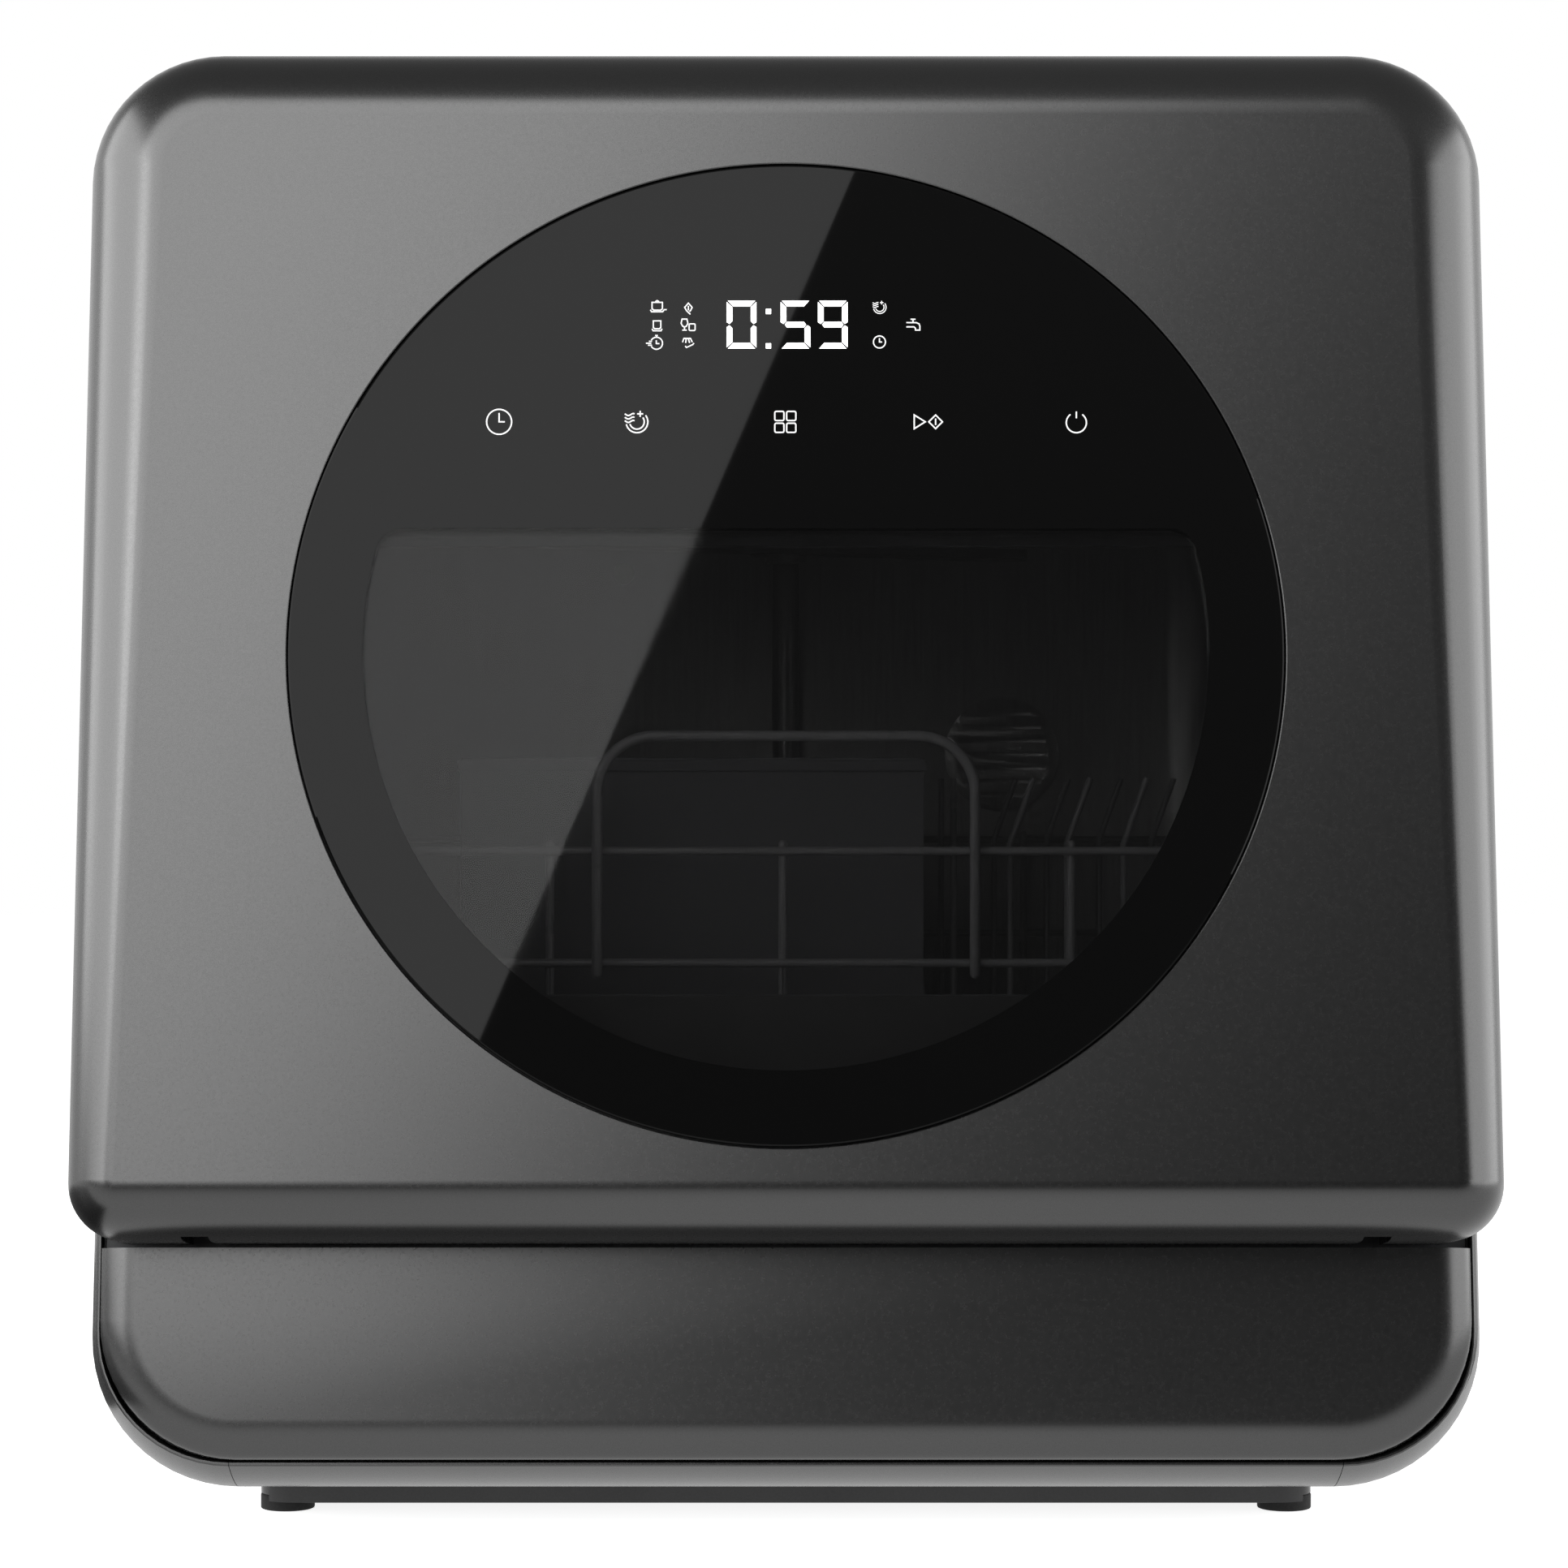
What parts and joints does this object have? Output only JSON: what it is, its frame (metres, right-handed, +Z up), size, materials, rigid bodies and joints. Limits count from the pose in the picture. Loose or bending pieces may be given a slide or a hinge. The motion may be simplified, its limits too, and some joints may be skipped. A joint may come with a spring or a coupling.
{
  "type": "countertop dishwasher",
  "caption": "Small tabletop dishwasher with a backward-leaning drop-down door, round smoked glass with a clear window, wire rack, spray arms, pumps and a water tank.",
  "frame": {"origin": "on the table under the middle of the appliance, at the centre of its overall box", "axes": "+X to the viewer's right, +Y from the door to the rear, +Z up; the door faces -Y and leans back 8.5 degrees"},
  "size_m": [0.42, 0.4299, 0.4449],
  "materials": {
    "painted_casing": "satin anthracite paint with a fine metallic grain on moulded plastic",
    "dark_plastic": "fine-grained black moulded plastic",
    "black_glass": "polished smoked glass, printed black behind round a clear window",
    "clear_glass": "polished tempered pane",
    "grey_plastic": "satin grey moulded plastic",
    "pale_plastic": "natural off-white moulded plastic",
    "stainless_tub": "brushed stainless sheet",
    "steel_parts": "zinc-plated pressed steel",
    "black_rubber": "matt black rubber",
    "coated_wire": "dark nylon coating on wire",
    "circuit_board": "green solder resist with moulded components"
  },
  "bodies": {
    "body": {"outer_housing": "painted_casing", "base_pan": "painted_casing", "plinth": "dark_plastic", "foot_pads": "black_rubber", "lower_front_panel": "painted_casing", "front_frame": "grey_plastic", "door_gasket": "black_rubber", "rear_cover": "dark_plastic", "rear_screws": "steel_parts", "tub": "stainless_tub", "rack_rails": "stainless_tub", "hinge_brackets": "steel_parts", "hinge_pins": "steel_parts", "latch_housing": "dark_plastic", "sump": "dark_plastic", "coarse_filter": "stainless_tub", "pump_hoses": "black_rubber", "wash_pump": "grey_plastic", "flow_heater": "steel_parts", "spray_duct": "dark_plastic", "riser_pipe": "grey_plastic", "drain_pump": "dark_plastic", "drain_hose": "black_rubber", "drain_spigot": "dark_plastic", "inlet_valve": "pale_plastic", "inlet_hose": "black_rubber", "transfer_valve": "pale_plastic", "water_tank": "pale_plastic", "fill_funnel": "dark_plastic", "fill_lid_pin": "steel_parts", "fan_housing": "dark_plastic", "power_board": "circuit_board", "mains_gland": "black_rubber"},
    "door": {"door_shell": "painted_casing", "door_glass": "black_glass", "glass_carrier": "dark_plastic", "window_shroud": "dark_plastic", "inner_window": "clear_glass", "window_seal": "black_rubber", "door_liner": "grey_plastic", "display_board": "circuit_board", "door_strike": "steel_parts", "hinge_blocks": "steel_parts", "detergent_cup": "pale_plastic"},
    "detergent_lid": {"detergent_lid": "grey_plastic"},
    "rack": {"rack_floor": "coated_wire", "rack_walls": "coated_wire", "rack_handle": "coated_wire", "plate_tines": "coated_wire"},
    "cutlery_basket": {"cutlery_basket": "grey_plastic"},
    "wheel_front_left": {"wheel_front_left": "grey_plastic"},
    "wheel_front_right": {"wheel_front_right": "grey_plastic"},
    "wheel_rear_left": {"wheel_rear_left": "grey_plastic"},
    "wheel_rear_right": {"wheel_rear_right": "grey_plastic"},
    "lower_spray_arm": {"lower_spray_arm": "grey_plastic"},
    "upper_spray_arm": {"upper_spray_arm": "grey_plastic"},
    "fine_filter": {"fine_filter": "grey_plastic"},
    "wash_impeller": {"wash_impeller": "pale_plastic"},
    "fan_rotor": {"fan_rotor": "grey_plastic"},
    "fill_lid": {"fill_lid": "painted_casing"}
  },
  "joints": [
    {"name": "door_hinge", "type": "hinge", "parent": "body", "child": "door", "pos_m": [0, -0.19133, 0.0989], "axis": [1, 0, 0], "range_deg": [0, 98.5]},
    {"name": "rack_slide", "type": "slide", "parent": "body", "child": "rack", "axis": [0, -1, 0], "range_m": [0, 0.1]},
    {"name": "wheel_front_left_roll", "type": "hinge", "parent": "rack", "child": "wheel_front_left", "pos_m": [-0.1549, -0.04463, 0.1363], "axis": [1, 0, 0], "range_deg": [0, 720]},
    {"name": "wheel_front_right_roll", "type": "hinge", "parent": "rack", "child": "wheel_front_right", "pos_m": [0.1549, -0.04463, 0.1363], "axis": [1, 0, 0], "range_deg": [0, 720]},
    {"name": "wheel_rear_left_roll", "type": "hinge", "parent": "rack", "child": "wheel_rear_left", "pos_m": [-0.1549, 0.105, 0.1363], "axis": [1, 0, 0], "range_deg": [0, 720]},
    {"name": "wheel_rear_right_roll", "type": "hinge", "parent": "rack", "child": "wheel_rear_right", "pos_m": [0.1549, 0.105, 0.1363], "axis": [1, 0, 0], "range_deg": [0, 720]},
    {"name": "basket_lift", "type": "slide", "parent": "rack", "child": "cutlery_basket", "axis": [0, 0, 1], "range_m": [0, 0.055]},
    {"name": "lower_arm_spin", "type": "hinge", "parent": "body", "child": "lower_spray_arm", "pos_m": [0, -0.00581, 0.13], "axis": [0, 0, 1], "continuous": true},
    {"name": "upper_arm_spin", "type": "hinge", "parent": "body", "child": "upper_spray_arm", "pos_m": [0, -0.00581, 0.303], "axis": [0, 0, 1], "continuous": true},
    {"name": "filter_twist", "type": "hinge", "parent": "body", "child": "fine_filter", "pos_m": [-0.07, -0.025, 0.12], "axis": [0, 0, 1], "range_deg": [0, 90]},
    {"name": "detergent_lid_slide", "type": "slide", "parent": "door", "child": "detergent_lid", "axis": [1, 0, 0], "range_m": [0, 0.044]},
    {"name": "fill_lid_hinge", "type": "hinge", "parent": "body", "child": "fill_lid", "pos_m": [0.08, 0.106, 0.4432], "axis": [-1, 0, 0], "range_deg": [0, 95]},
    {"name": "pump_spin", "type": "hinge", "parent": "body", "child": "wash_impeller", "pos_m": [0.06, -0.025, 0.07], "axis": [1, 0, 0], "continuous": true},
    {"name": "fan_spin", "type": "hinge", "parent": "body", "child": "fan_rotor", "pos_m": [0.08, 0.165, 0.235], "axis": [0, 1, 0], "continuous": true}
  ],
  "couplings": [
    {"joint": "rack_slide", "follows": "door_hinge", "m_per_rad": 0.0581},
    {"joint": "wheel_front_left_roll", "follows": "door_hinge", "ratio": 7.2625},
    {"joint": "wheel_front_right_roll", "follows": "door_hinge", "ratio": 7.2625},
    {"joint": "wheel_rear_left_roll", "follows": "door_hinge", "ratio": 7.2625},
    {"joint": "wheel_rear_right_roll", "follows": "door_hinge", "ratio": 7.2625}
  ]
}
